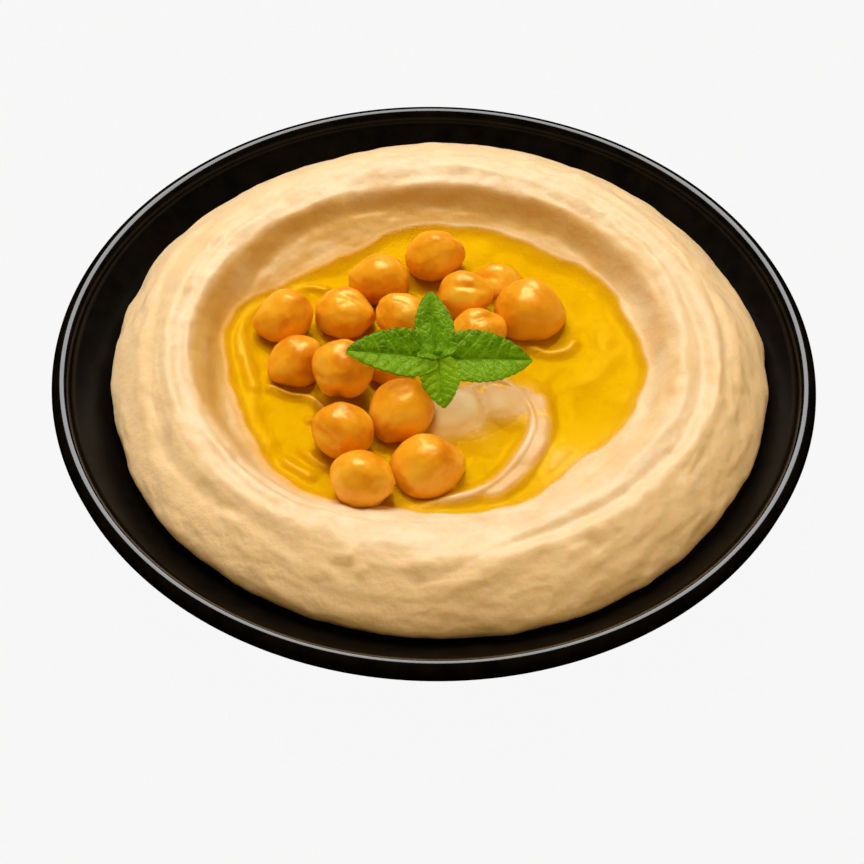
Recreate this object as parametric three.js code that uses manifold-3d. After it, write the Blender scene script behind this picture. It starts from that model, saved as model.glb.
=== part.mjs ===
// Hummus served in a round black stoneware dish. A thick ring of hummus lies round a shallow
// basin, which holds a pool of olive oil, sixteen boiled chickpeas and a sprig of mint.
// Millimetres, +Z up. The origin is on the floor, under the middle of the dish.

import * as THREE from 'three';
import { mergeVertices } from 'three/addons/utils/BufferGeometryUtils.js';
import Module from 'manifold-3d';

// Driving dimensions.
const gap = 0.3;                 // clearance between pieces that touch
const facetSag = 0.15;           // how far a facet of the dish can stand above its true curve
const dishRadius = 75;
const dishHeight = 24;
const lipRadius = 1.86;          // the rounded lip is a roll of this radius
const dishFloorHeight = 8;       // top of the flat floor inside
const dishFloorRadius = 38;
const footRadius = 39;
const footWidth = 6;
const footRecess = 1;            // how far the base inside the foot ring is raised
const dishSegments = 56;

const moundX = 1;                // the hummus sits a little to the right of the dish's middle
const moundContact = 62.4;       // where the hummus meets the dish
const moundBulge = 64.4;         // the widest radius of the hummus
const crestRadius = 51.5;
const crestHeight = 30.7;
const moundSegments = 50;

const oilLevel = 24;
const oilDepth = 1.8;            // how far the basin's floor lies below the oil's level
const shoreWidth = 1.2;          // how fast the floor falls away from the oil's edge, slower at the near right
const poolReach = 46;            // a radius that the pool nowhere reaches
const wallWidth = 6.4;           // how wide the steep inner wall of the ring is, seen from above

// Radius of the oil's edge about the mound's middle, every 20 degrees from +X round to the far side.
const poolRadii = [
  40.5, 40, 40.1, 38.4, 39.2, 38.6, 35.8, 36.9, 43, 42,
  40, 41.6, 39.9, 37, 38.1, 37.6, 36.3, 39.1,
];

const peaFacets = [10, 8];       // sides round a chickpea, and rings along it
const dentFacets = [8, 6];       // the same for the dent that it presses

const dentSlack = 0.09;          // what the dents' flat facets would cut off, for each mm of radius

const sprigX = 0.6;
const sprigY = -6.4;
const sprigHeight = 33.4;
const leafThickness = 0.5;

// Each chickpea: middle x, y, z, radius, where its beak points (turn about Z, then down), and its roll
// about the beak, degrees.
const chickpeas = [
  { at: [-29.8, 10.6, 26.2], radius: 5.35, turn: 192, dip: 18, roll: 0 },
  { at: [-18.1, 12.6, 25.1], radius: 5.4, turn: -12, dip: -12, roll: 170 },
  { at: [-11, 21.5, 25.7], radius: 5.35, turn: 168, dip: 5, roll: 200 },
  { at: [-0.5, 28.1, 26], radius: 5.35, turn: 10, dip: -8, roll: 150 },
  { at: [-6.3, 9.8, 27.3], radius: 5, turn: 158, dip: -18, roll: 190 },
  { at: [5.7, 16.6, 26.7], radius: 5.05, turn: -14, dip: -20, roll: 200 },
  { at: [12.5, 23.2, 22.8], radius: 4.7, turn: 170, dip: 0, roll: 160 },
  { at: [18.6, 13.6, 25.7], radius: 6.3, turn: -8, dip: 6, roll: 40 },
  { at: [8.3, 6.1, 26.8], radius: 5, turn: 25, dip: -10, roll: 180 },
  { at: [-26.9, -0.5, 25.1], radius: 5.3, turn: 215, dip: 10, roll: 330 },
  { at: [-17.7, -6.4, 30], radius: 6, turn: 262, dip: -30, roll: 0 },
  { at: [-17.4, -20, 27], radius: 5.6, turn: 165, dip: -10, roll: 120 },
  { at: [-6.3, -13.6, 25.7], radius: 6.15, turn: 236, dip: 14, roll: 60 },
  { at: [-13.5, -32.2, 27.4], radius: 5.7, turn: -10, dip: 8, roll: 300 },
  { at: [-1.2, -27, 24.9], radius: 6.45, turn: 12, dip: 0, roll: 30 },
  { at: [-9, -0.2, 25.5], radius: 4.9, turn: 90, dip: -70, roll: 0 },
];
const chickpeaForm = [1.08, 1, 0.96];    // length along the beak, width and height, for a radius of 1

const wasm = await Module();
wasm.setup();

const clamp = (value, low, high) => Math.min(high, Math.max(low, value));
const degrees = (angle) => THREE.MathUtils.degToRad(angle);
const bell = (value, width) => Math.exp(-((value / width) ** 2));

function smooth(low, high, value) {
  const t = clamp((value - low) / (high - low), 0, 1);
  return t * t * (3 - 2 * t);
}

// The distance between two angles, in radians, from 0 to pi.
function angleBetween(a, b) {
  return Math.abs(Math.atan2(Math.sin(a - b), Math.cos(a - b)));
}

function toSolid(geometry) {
  const bare = geometry.index ? geometry.toNonIndexed() : geometry.clone();
  bare.deleteAttribute('normal');
  bare.deleteAttribute('uv');
  const merged = mergeVertices(bare, 1e-4);
  const mesh = new wasm.Mesh({
    numProp: 3,
    vertProperties: new Float32Array(merged.attributes.position.array),
    triVerts: new Uint32Array(merged.index.array),
  });
  return new wasm.Manifold(mesh);
}

function toGeometry(solid) {
  const mesh = solid.getMesh();
  const geometry = new THREE.BufferGeometry();
  geometry.setAttribute('position', new THREE.BufferAttribute(mesh.vertProperties, 3));
  geometry.setIndex(new THREE.BufferAttribute(mesh.triVerts, 1));
  geometry.computeVertexNormals();
  return geometry;
}

// A closed skin through rows of points that each run once round: the first and last rows are poles.
function closedRows(rows) {
  const positions = [];
  const index = [];
  rows.forEach((row) => row.forEach((point) => positions.push(point.x, point.y, point.z)));
  const sides = rows[1].length;
  const start = (row) => (row === 0 ? 0 : 1 + (row - 1) * sides);
  const last = rows.length - 1;
  for (let side = 0; side < sides; side += 1) {
    const next = (side + 1) % sides;
    index.push(0, start(1) + side, start(1) + next);
    for (let row = 1; row < last - 1; row += 1) {
      const a = start(row) + side;
      const b = start(row) + next;
      const c = start(row + 1) + side;
      const d = start(row + 1) + next;
      index.push(a, c, b, b, c, d);
    }
    index.push(start(last), start(last - 1) + next, start(last - 1) + side);
  }
  const geometry = new THREE.BufferGeometry();
  geometry.setAttribute('position', new THREE.Float32BufferAttribute(positions, 3));
  geometry.setIndex(index);
  geometry.computeVertexNormals();
  return geometry;
}

// The dish ---------------------------------------------------------------------------------

// Height of the dish's inner face: a flat floor that curves up to the lip.
function dishInside(radius) {
  const lipInner = dishRadius - 2 * lipRadius;
  const reach = clamp((radius - dishFloorRadius) / (lipInner - dishFloorRadius), 0, 1);
  return dishFloorHeight + (dishHeight - lipRadius - dishFloorHeight) * reach ** 1.5;
}

function dishGeometry() {
  const lipMiddle = dishHeight - lipRadius;
  const lipCentre = dishRadius - lipRadius;
  const profile = [
    [0, footRecess],
    [footRadius - footWidth - 1, footRecess],
    [footRadius - footWidth, 0],
    [footRadius, 0],
    [footRadius + 1.4, 2.6],
    [51, 6.2],
    [62, 11.4],
    [70, 16.2],
    [72.4, 18],
    [74.4, 20],
  ];
  for (let step = 0; step <= 4; step += 1) {       // the roll of the lip, from outside to inside
    const angle = (Math.PI * step) / 4;
    profile.push([lipCentre + lipRadius * Math.cos(angle), lipMiddle + lipRadius * Math.sin(angle)]);
  }
  for (const radius of [66.5, 61.5, 56, 49, dishFloorRadius]) {
    profile.push([radius, dishInside(radius)]);
  }
  profile.push([0, dishFloorHeight]);
  const points = profile.map(([radius, height]) => new THREE.Vector2(radius, height));
  const geometry = new THREE.LatheGeometry(points, dishSegments);
  geometry.rotateX(Math.PI / 2);                   // the lathe turns about Y; the dish stands on Z
  return geometry;
}

// The hummus -------------------------------------------------------------------------------

// The oil's edge runs smoothly through its measured radii, once round.
function poolEdge(angle) {
  const count = poolRadii.length;
  const turn = ((angle / (2 * Math.PI)) % 1 + 1) % 1;
  const place = turn * count;
  const start = Math.floor(place);
  const t = place - start;
  const [a, b, c, d] = [-1, 0, 1, 2].map((step) => poolRadii[(start + step + count) % count]);
  const bend = (2 * a - 5 * b + 4 * c - d) * t ** 2 + (3 * b - a - 3 * c + d) * t ** 3;
  return 0.5 * (2 * b + (c - a) * t + bend);
}

// Radius of the middle of the steep inner wall of the ring.
function wallRadius(angle) {
  return 45.2 + 1.2 * Math.cos(angle - degrees(195));
}

// How far the inner wall is eased, lower and rounder than elsewhere, at the far side.
function easing(angle) {
  return bell(angleBetween(angle, degrees(98)), 0.9);
}

// How steep the inner wall is: most to the right and to the left, not at all at the near side.
function hollowing(angle) {
  const reach = 1 - smooth(degrees(85), degrees(150), angleBetween(angle, degrees(95)));
  return reach * (1 - 0.45 * easing(angle));
}

function curveThrough(points, steps) {
  const knots = points.map(([x, y]) => new THREE.Vector3(x, y, 0));
  return new THREE.CatmullRomCurve3(knots).getPoints(steps);
}

// The crown of the spiral ridge that the spoon left in the basin.
const spiralRidge = curveThrough(
  [[5, -6.2], [13, -3.2], [18, -8.7], [19.3, -15.2], [16.5, -23.2], [10.5, -30.7], [2, -34.7], [-8, -37.7]],
  60,
);

// The low apron that the spiral ridge slopes down to on its outer side.
const spiralApron = curveThrough(
  [[20.4, -8.4], [20.9, -14], [19.6, -20.4], [16.4, -26.6], [11.5, -31.8]],
  40,
);

// A thinner ridge along the left of the pool, whose far end swings in towards the chickpeas.
const leftRidge = curveThrough(
  [[-35.3, -5.2], [-37.3, 1.8], [-38.6, 8.8], [-36.8, 14.8], [-32.5, 19.3], [-26.5, 21.8]],
  40,
);

function distanceTo(line, x, y) {
  return Math.min(...line.map((point) => Math.hypot(point.x - x, point.y - y)));
}

// Radii at which the steep wall starts from the oil's edge or its shelf, and where it reaches the crest.
function wallLimits(angle) {
  const foot = Math.max(wallRadius(angle) - wallWidth / 2 + 0.4 * easing(angle), poolEdge(angle) + 0.4);
  return [foot, wallRadius(angle) + wallWidth / 2 - 2.7 * easing(angle)];
}

// A rise with a broad top and short sides.
function flatRise(across, along) {
  return Math.exp(-(across ** 4) - along ** 4);
}

// What rises from the basin's floor: a low hump at the middle, the spoon's ridges and what joins them.
function basinRelief(x, y) {
  const crown = 0.5 * bell(Math.hypot(x - 4.3, y + 11.5), 6);
  const hump = 2.3 * flatRise((x - 4.3) / 8.2, (y + 11.5) / 8.6) + crown;
  const saddle = 2.2 * flatRise((x - 13.5) / 7.5, (y + 8) / 6);
  const spiral = 2.3 * bell(distanceTo(spiralRidge, x, y), 1.7);
  const apron = 1.9 * flatRise(distanceTo(spiralApron, x, y) / 2.6, 0);
  const shallow = 0.9 * bell(Math.hypot(x - 24, y + 24), 5.5);
  const left = bell(distanceTo(leftRidge, x, y), 1.4);
  return Math.max(hump, saddle, spiral, apron, shallow, left);
}

// Fine concentric ridges, which drift outwards as they go round.
function stripes(radius, angle) {
  const band = smooth(40, 45, radius) * (1 - smooth(54, 58, radius));
  const swell = 0.6 + 0.4 * Math.sin(angle * 2 + 0.8);
  return 0.16 * band * swell * Math.sin((2 * Math.PI * radius) / 3.6 - angle);
}

// The channel between the inner and outer folds, from the right round to the near side.
function channel(radius, angle) {
  const turned = angleBetween(angle, degrees(-28));
  const strength = 1 - smooth(degrees(30), degrees(65), turned);
  const track = 50.7 + 0.8 * Math.cos(angle - degrees(-22));
  return -0.9 * strength * bell(radius - track, 1.6);
}

// Height of the hummus above the floor, from the middle out over the crest.
function hummusTop(radius, angle) {
  const edge = poolEdge(angle);
  if (radius < edge) {
    const x = moundX + radius * Math.cos(angle);
    const y = radius * Math.sin(angle);
    const inward = edge - radius;
    const shore = shoreWidth * (1 + 1.6 * bell(angleBetween(angle, degrees(-38)), 0.45));
    const floor = oilLevel - oilDepth * (1 - Math.exp(-inward / shore));
    return floor + basinRelief(x, y) * smooth(0, 4, inward);
  }
  const hollow = hollowing(angle);
  const shelf = oilLevel + (0.28 - 0.12 * hollow) * (radius - edge);
  const gentle = smooth(edge - 1, crestRadius, radius);
  const [foot, lip] = wallLimits(angle);
  const steep = smooth(foot, lip, radius);
  const rise = gentle + (steep - gentle) * hollow;
  const fall = 0.07 * Math.max(0, radius - crestRadius) ** 2;
  const height = shelf + (crestHeight - shelf) * rise - fall;
  return height + stripes(radius, angle) + channel(radius, angle);
}

// The flank swings out over the dish and tucks back under: radius and height of its stations.
const flank = [
  [59.3, 27],
  [61.6, 24.9],
  [63.6, 22.7],
  [moundBulge, 20.8],
  [63.3, 19],
];

// Slow swells of the flank, as a spoon leaves them.
function flankSwell(height, angle) {
  const slow = 0.35 * Math.sin(5 * angle + 1) + 0.25 * Math.sin(9 * angle + 0.25 * height);
  const notch = 0.7 * bell(angleBetween(angle, degrees(150)), 0.12);
  return (slow + notch) * smooth(17.5, 22, height);
}

const basinRadii = [5, 10, 13.5, 16, 18.5, 21, 24, 27, 30, 33];
const wallSteps = [0, 0.33, 0.67, 1];
const undersideRadii = [moundContact, 53, dishFloorRadius, 19];

// The hummus as one skin: top from the middle out, flank, and the underside that follows the dish.
function hummusGeometry(lift) {
  const point = (radius, angle, height) => new THREE.Vector3(
    moundX + radius * Math.cos(angle),
    radius * Math.sin(angle),
    height,
  );
  const ring = (place) => Array.from({ length: moundSegments }, (unused, side) => {
    const angle = (2 * Math.PI * side) / moundSegments;
    const [radius, height] = place(angle);
    return point(radius, angle, height);
  });
  const topRing = (radiusAt) => ring((angle) => {
    const radius = radiusAt(angle);
    return [radius, hummusTop(radius, angle) + lift];
  });
  const lastBasin = basinRadii.at(-1);
  const rows = [[point(0, 0, hummusTop(0, 0) + lift)]];
  basinRadii.forEach((radius) => rows.push(topRing(() => radius)));
  for (const step of [0.5, 1]) {                   // the last of the basin, up to the oil's edge
    rows.push(topRing((angle) => lastBasin + (poolEdge(angle) - lastBasin) * step));
  }
  for (const step of wallSteps) {
    rows.push(topRing((angle) => {
      const [foot, lip] = wallLimits(angle);
      return foot + (lip - foot) * step;
    }));
  }
  for (const radius of [crestRadius, 54.5, 57]) rows.push(topRing(() => radius));
  for (const [radius, height] of flank) {
    rows.push(ring((angle) => [radius + flankSwell(height, angle), height]));
  }
  for (const radius of undersideRadii) {
    rows.push(ring((angle) => {
      const fromDish = Math.hypot(moundX + radius * Math.cos(angle), radius * Math.sin(angle));
      return [radius, dishInside(fromDish) + gap + facetSag];
    }));
  }
  rows.push([point(0, 0, dishFloorHeight + gap)]);
  return closedRows(rows);
}

// The chickpeas ----------------------------------------------------------------------------

// A boiled chickpea lies along X: a plump body of two soft lobes with a crease, and a beak at +X.
function chickpeaGeometry({ at, radius, turn, dip, roll }, facets, growth) {
  const geometry = new THREE.SphereGeometry(1, ...facets);
  const position = geometry.attributes.position;
  const way = new THREE.Vector3();
  for (let i = 0; i < position.count; i += 1) {
    way.fromBufferAttribute(position, i).normalize();
    const beak = 0.1 * bell(Math.acos(clamp(way.x, -1, 1)), 0.45);
    const crease = 0.09 * bell(way.y, 0.22) * smooth(-0.3, 0.6, way.x) * smooth(0.2, 0.9, -way.z);
    const bumps = 0.02 * Math.cos(5 * Math.atan2(way.y, way.z)) * (1 - way.x ** 2);
    const size = radius * (0.99 + beak - crease + bumps) + growth;
    way.multiplyScalar(size);
    position.setXYZ(i, ...way.toArray().map((length, axis) => length * chickpeaForm[axis]));
  }
  geometry.rotateX(degrees(roll));
  geometry.rotateY(degrees(dip));
  geometry.rotateZ(degrees(turn));
  geometry.translate(...at);
  return geometry;
}

// The mint sprig ---------------------------------------------------------------------------

// A leaf lies along +X from its stalk: width across Y, folded up from its midrib, drooping at the tip.
function leafGeometry({ length, width, fold, droop, teeth, along, across }) {
  const halfWidth = (u, tooth) => {
    const outline = Math.sin(Math.PI * (0.05 + 0.95 * u) ** 0.78) ** 0.7;
    const notch = tooth % 2 ? 1 - teeth : 1;
    return Math.max(0.2, (width / 2) * outline * notch);
  };
  const positions = [];
  for (const side of [1, 0]) {                     // upper face, then lower face
    for (let i = 0; i <= along; i += 1) {
      for (let j = 0; j <= across; j += 1) {
        const u = i / along;
        const v = (2 * j) / across - 1;
        const half = halfWidth(u, i);
        const rib = fold * Math.abs(v) * half - 0.16 * half * v * v;
        const wave = 0.18 * Math.sin(u * 9 + v * 2) * Math.abs(v);
        const height = droop * u * u + rib + wave + (side - 0.5) * leafThickness;
        positions.push(u * length, v * half, height);
      }
    }
  }
  const index = [];
  const row = across + 1;
  const lower = (along + 1) * row;
  for (let i = 0; i < along; i += 1) {
    for (let j = 0; j < across; j += 1) {
      const a = i * row + j;
      const [b, c, d] = [a + row, a + row + 1, a + 1];
      index.push(a, b, c, a, c, d);
      index.push(lower + a, lower + c, lower + b, lower + a, lower + d, lower + c);
    }
  }
  const edge = [];                                 // once round the outline, seen from above
  for (let i = 0; i < along; i += 1) edge.push(i * row);
  for (let j = 0; j < across; j += 1) edge.push(along * row + j);
  for (let i = along; i > 0; i -= 1) edge.push(i * row + across);
  for (let j = across; j > 0; j -= 1) edge.push(j);
  edge.forEach((from, i) => {
    const to = edge[(i + 1) % edge.length];
    index.push(from, lower + to, to, from, lower + from, lower + to);
  });
  const geometry = new THREE.BufferGeometry();
  geometry.setAttribute('position', new THREE.Float32BufferAttribute(positions, 3));
  geometry.setIndex(index);
  return geometry;
}

// Each leaf: its size, the way it points, how far its tip lifts, and its roll about its own midrib.
const leaves = [
  { length: 17.8, width: 11, turn: 184, lift: 13, roll: -10, base: -0.2 },
  { length: 18.9, width: 12.2, turn: 9.8, lift: -7, roll: 11, base: -0.5 },
  { length: 14.9, width: 7.8, turn: 97, lift: 14, roll: 0, base: 0.4 },
  { length: 10.4, width: 8.1, turn: -82, lift: -18, roll: 0, base: 0.4 },
  { length: 4.6, width: 3.2, turn: 205, lift: 20, roll: 0, base: 1 },
  { length: 4.6, width: 3.6, turn: 15, lift: 20, roll: 0, base: 1 },
];

const stemRadius = 0.9;
const stemDepth = 1.5;           // how far the stem is pushed into the hummus

function placedLeaf({ length, width, turn, lift, roll, base }) {
  const large = length > 8;
  const geometry = leafGeometry({
    length,
    width,
    fold: 0.3,
    droop: large ? -0.06 * length : 0,
    teeth: large ? 0.1 : 0,
    along: large ? 10 : 4,
    across: 4,
  });
  geometry.rotateX(degrees(roll));
  geometry.rotateY(degrees(-lift));
  geometry.rotateZ(degrees(turn));
  geometry.translate(sprigX, sprigY, sprigHeight + base);
  return geometry;
}

function stemGeometry(growth) {
  const aside = sprigX - moundX;
  const bottom = hummusTop(Math.hypot(aside, sprigY), Math.atan2(sprigY, aside)) - stemDepth;
  const top = sprigHeight + 1;
  const radius = stemRadius + growth;
  const geometry = new THREE.CylinderGeometry(radius * 0.85, radius, top - bottom + growth, 10);
  geometry.rotateX(Math.PI / 2);
  geometry.translate(sprigX, sprigY, (top + bottom - growth) / 2);
  return geometry;
}

function sprigSolid() {
  const bud = new THREE.SphereGeometry(1.1, 8, 6);
  bud.translate(sprigX, sprigY, sprigHeight + 1.2);
  return [...leaves.map(placedLeaf), bud]
    .map(toSolid)
    .reduce((whole, piece) => whole.add(piece), toSolid(stemGeometry(0)));
}

// The dish of food -------------------------------------------------------------------------

const stoneware = new THREE.MeshStandardMaterial({ color: 0x17130f, roughness: 0.35, metalness: 0 });
const dip = new THREE.MeshStandardMaterial({ color: 0xf0ce97, roughness: 0.5, metalness: 0 });
const pea = new THREE.MeshStandardMaterial({ color: 0xee9a20, roughness: 0.3, metalness: 0 });
const mint = new THREE.MeshStandardMaterial({ color: 0x3f9a1c, roughness: 0.45, metalness: 0 });
const oil = new THREE.MeshStandardMaterial({
  color: 0xf0b400,
  roughness: 0.05,
  metalness: 0,
  transparent: true,
  opacity: 0.6,
});

const served = new THREE.Group();

function addPiece(name, geometry, material) {
  const mesh = new THREE.Mesh(geometry, material);
  mesh.name = name;
  served.add(mesh);
}

const dents = chickpeas.map((one) => {
  const growth = gap + dentSlack * one.radius;
  return toSolid(chickpeaGeometry(one, dentFacets, growth));
});
const stemHole = toSolid(stemGeometry(gap));
const pressed = [...dents, stemHole];           // what dents the hummus and stands in the oil

const hummus = pressed.reduce((whole, hole) => whole.subtract(hole), toSolid(hummusGeometry(0)));

// The oil lies on the basin's floor and round the chickpeas. Drops shut in between them are left out.
function oilPool() {
  const depth = oilDepth + 1;
  const disc = new THREE.CylinderGeometry(poolReach, poolReach, depth, moundSegments);
  disc.rotateX(Math.PI / 2);
  disc.translate(moundX, 0, oilLevel - depth / 2);
  const basin = toSolid(hummusGeometry(gap));
  return [basin, ...pressed]
    .reduce((whole, hole) => whole.subtract(hole), toSolid(disc))
    .decompose()
    .reduce((largest, piece) => (piece.volume() > largest.volume() ? piece : largest));
}

addPiece('dish', dishGeometry(), stoneware);
addPiece('hummus', toGeometry(hummus), dip);
addPiece('oil_pool', toGeometry(oilPool()), oil);
chickpeas.forEach((one, i) => {
  addPiece(`chickpea_${String(i + 1).padStart(2, '0')}`, chickpeaGeometry(one, peaFacets, 0), pea);
});
addPiece('mint_sprig', toGeometry(sprigSolid()), mint);

export default served;
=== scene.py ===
import math

import bpy
import numpy as np
from mathutils import Matrix


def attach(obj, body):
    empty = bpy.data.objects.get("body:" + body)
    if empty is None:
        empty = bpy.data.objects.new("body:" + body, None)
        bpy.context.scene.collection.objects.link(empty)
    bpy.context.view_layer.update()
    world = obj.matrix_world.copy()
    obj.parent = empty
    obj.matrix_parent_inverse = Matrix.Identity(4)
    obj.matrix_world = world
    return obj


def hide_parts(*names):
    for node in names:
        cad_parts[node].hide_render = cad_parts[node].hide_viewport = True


# Hummus in a round black stoneware dish, with olive oil, chickpeas and mint.
# Every shape is worked out in millimetres and scaled to metres when it is put into its mesh.

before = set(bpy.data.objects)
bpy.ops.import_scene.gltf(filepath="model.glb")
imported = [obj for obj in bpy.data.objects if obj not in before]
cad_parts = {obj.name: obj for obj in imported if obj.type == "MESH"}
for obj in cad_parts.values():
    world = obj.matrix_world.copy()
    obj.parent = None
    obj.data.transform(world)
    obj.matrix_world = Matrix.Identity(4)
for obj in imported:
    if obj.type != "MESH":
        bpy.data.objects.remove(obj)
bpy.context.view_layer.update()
millimetre = 0.001


# Small helpers

topMark = 40  # height given to the points of an upper surface until they get their own
spinParts = 12  # a spun shape is one part, copied round
mergeWithin = 0.000002  # metres
latticeSize = 64  # cells of unevenness before it repeats
latticeShift = 500  # cells from the lattice's corner to the middle of the dish


def deselectAll():
    if bpy.context.object and bpy.context.object.mode != "OBJECT":
        bpy.ops.object.mode_set(mode="OBJECT")
    bpy.ops.object.select_all(action="DESELECT")


def pointsOf(piece):
    points = np.empty(len(piece.data.vertices) * 3)
    piece.data.vertices.foreach_get("co", points)
    return points.reshape(-1, 3) / millimetre


def movePoints(piece, points):
    piece.data.vertices.foreach_set("co", (points * millimetre).ravel())
    piece.data.update()


def storeValues(piece, name, values):  # one number for each point, read by the material
    attribute = piece.data.attributes.new(name, "FLOAT", "POINT")
    attribute.data.foreach_set("value", values.astype(np.float32))


def spinShape(name, profile, steps, middleX=0.0):
    # The profile, (radius, height) by (radius, height), is drawn out and spun round the upright axis.
    deselectAll()
    start = ((profile[0][0] + middleX) * millimetre, 0, profile[0][1] * millimetre)
    bpy.ops.mesh.primitive_plane_add(size=millimetre, location=start)
    piece = bpy.context.object
    piece.name = piece.data.name = name
    bpy.ops.object.transform_apply(location=True)
    bpy.ops.object.mode_set(mode="EDIT")
    bpy.ops.mesh.select_all(action="SELECT")
    bpy.ops.mesh.merge(type="CENTER")
    for before, after in zip(profile, profile[1:]):
        step = ((after[0] - before[0]) * millimetre, 0, (after[1] - before[1]) * millimetre)
        bpy.ops.mesh.extrude_region_move(TRANSFORM_OT_translate={"value": step})
    bpy.ops.mesh.select_all(action="SELECT")
    centre = (middleX * millimetre, 0, 0)
    bpy.ops.mesh.spin(steps=steps // spinParts, angle=math.tau / spinParts, center=centre, axis=(0, 0, 1))
    # The part that is there now is copied until the ring is closed.
    bpy.ops.mesh.select_all(action="SELECT")
    copies = spinParts - 1
    angle = math.tau * copies / spinParts
    bpy.ops.mesh.spin(steps=copies, dupli=True, angle=angle, center=centre, axis=(0, 0, 1))
    bpy.ops.mesh.select_all(action="SELECT")
    bpy.ops.mesh.remove_doubles(threshold=mergeWithin)
    bpy.ops.mesh.normals_make_consistent(inside=False)
    bpy.ops.object.mode_set(mode="OBJECT")
    return piece


def shadeSmooth(piece):
    deselectAll()
    piece.select_set(True)
    bpy.context.view_layer.objects.active = piece
    bpy.ops.object.shade_smooth()


def finishPiece(piece, node, material):
    piece.data.materials.clear()
    piece.data.materials.append(material)
    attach(piece, "root")
    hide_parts(node)


def smooth(low, high, value):  # from 0 at low to 1 at high
    part = np.clip((value - low) / (high - low), 0, 1)
    return part * part * (3 - 2 * part)


def within(value, start, end):  # rises over start and falls again over end
    return smooth(*start, value) * (1 - smooth(*end, value))


def bell(value, width, power=2):  # a power above 2 makes its top flat
    return np.exp(-np.abs(value / width) ** power)


def angleBetween(a, b):
    return np.abs(np.arctan2(np.sin(a - b), np.cos(a - b)))


def towards(angle, middle, width):
    # 1 towards the middle, in degrees, and less beside it. The width is in radians.
    return bell(angleBetween(angle, math.radians(middle)), width)


def sector(angle, middle, full, gone):
    # 1 up to full degrees from the middle, 0 from gone degrees on.
    return 1 - smooth(math.radians(full), math.radians(gone), angleBetween(angle, math.radians(middle)))


def unevenness(points, cell, seed):
    # Smooth unevenness between -1 and 1: seeded random values on a lattice, blended in between.
    lattice = np.random.default_rng(seed).uniform(-1, 1, (latticeSize, latticeSize, latticeSize))
    askew = np.array(Matrix.Rotation(1 + seed, 3, (1, 2, 3)))
    spots = points @ askew / cell + latticeShift
    low = np.floor(spots).astype(int)
    part = smooth(0, 1, spots - low)
    total = np.zeros(len(points))
    for corner in range(8):
        step = np.array([corner & 1, corner >> 1 & 1, corner >> 2 & 1])
        weight = np.prod(np.where(step, part, 1 - part), axis=1)
        x, y, z = ((low + step) % latticeSize).T
        total += weight * lattice[x, y, z]
    return total


def layered(points, layers):
    # Unevenness of several grades, each with its height, size and seed.
    return sum(height * unevenness(points, cell, seed) for height, cell, seed in layers)


def waves(angle, parts):
    # Waves round the middle: height, how many and where they start.
    return sum(height * np.sin(count * angle + start) for height, count, start in parts)


def onward(a, b, c, d, t):
    # From b to c as t goes from 0 to 1, smoothly on from a and towards d.
    bend = (2 * a - 5 * b + 4 * c - d) * t ** 2 + (3 * b - a - 3 * c + d) * t ** 3
    return 0.5 * (2 * b + (c - a) * t + bend)


def curveThrough(knots, count):
    knots = np.array(knots, float)
    ends = np.vstack([2 * knots[0] - knots[1], knots, 2 * knots[-1] - knots[-2]])
    along = np.linspace(0, len(knots) - 1, count)
    piece = np.minimum(along.astype(int), len(knots) - 2)
    return onward(*(ends[piece + shift] for shift in range(4)), (along - piece)[:, None])


def distanceTo(line, x, y):
    nearest = np.full(x.shape, np.inf)
    for px, py in line:
        nearest = np.minimum(nearest, (x - px) ** 2 + (y - py) ** 2)
    return np.sqrt(nearest)


def linear(hexColour):
    parts = [int(hexColour[i:i + 2], 16) / 255 for i in (1, 3, 5)]
    return tuple(p / 12.92 if p <= 0.04045 else ((p + 0.055) / 1.055) ** 2.4 for p in parts) + (1,)


def newMaterial(name):
    material = bpy.data.materials.new(name)
    material.use_nodes = True
    material.node_tree.nodes.clear()
    return material, material.node_tree


def addNode(tree, kind, settings=None, links=None, values=None):
    # settings are the node's own, links come from a socket or a node's first one, values are for sockets.
    node = tree.nodes.new("ShaderNode" + kind)
    for key, value in (settings or {}).items():
        setattr(node, key, value)
    for key, value in (values or {}).items():
        node.inputs[key].default_value = value
    for key, source in (links or {}).items():
        socket = source.outputs[0] if isinstance(source, bpy.types.Node) else source
        tree.links.new(socket, node.inputs[key])
    return node


def blotched(tree, place, piece, shades, detail, roughness=0.5):
    # Soft blotches in shades of the piece, each from its own value of the noise on.
    blotch = addNode(tree, "TexNoise", links={"Vector": place},
                     values={"Scale": piece["blotches"], "Detail": detail, "Roughness": roughness})
    ramp = addNode(tree, "ValToRGB", links={"Fac": blotch})
    elements = ramp.color_ramp.elements
    while len(elements) < len(shades):
        elements.new(1)
    for element, (position, shade) in zip(elements, shades):
        element.position = position
        element.color = linear(piece[shade])
    return ramp


def tintedBy(tree, colour, piece, tints):
    # Each stored value mixes in another of the piece's shades.
    for name, shade in tints:
        amount = addNode(tree, "Attribute", {"attribute_name": name}).outputs["Fac"]
        mixed = addNode(tree, "Mix", {"data_type": "RGBA"}, {0: amount, 6: colour},
                        {7: linear(piece[shade])})
        colour = mixed.outputs["Result"]
    return colour


def grained(tree, place, noise, bump, under=None):
    # Fine relief, on top of a coarser one where that is given.
    grain = addNode(tree, "TexNoise", links={"Vector": place}, values=noise)
    links = {"Height": grain}
    if under:
        links["Normal"] = under
    return addNode(tree, "Bump", links=links, values=bump)


# Camera: a long lens that looks down at the dish from the front

camera = {
    "distance": 0.7,  # metres from the middle of the dish's rim
    "elevation": 47.638,  # degrees above the table
    "focal": 3565.56,  # the lens in pixels of an 864 pixel picture
    "rimCentre": (433.2, 366.8), # where the middle of the rim lies in the picture, in pixels
    "roll": 0.9,
    "rimHeight": 0.024,
    "picture": 864,
    "sensor": 36,
    "farthest": 100,
}


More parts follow.
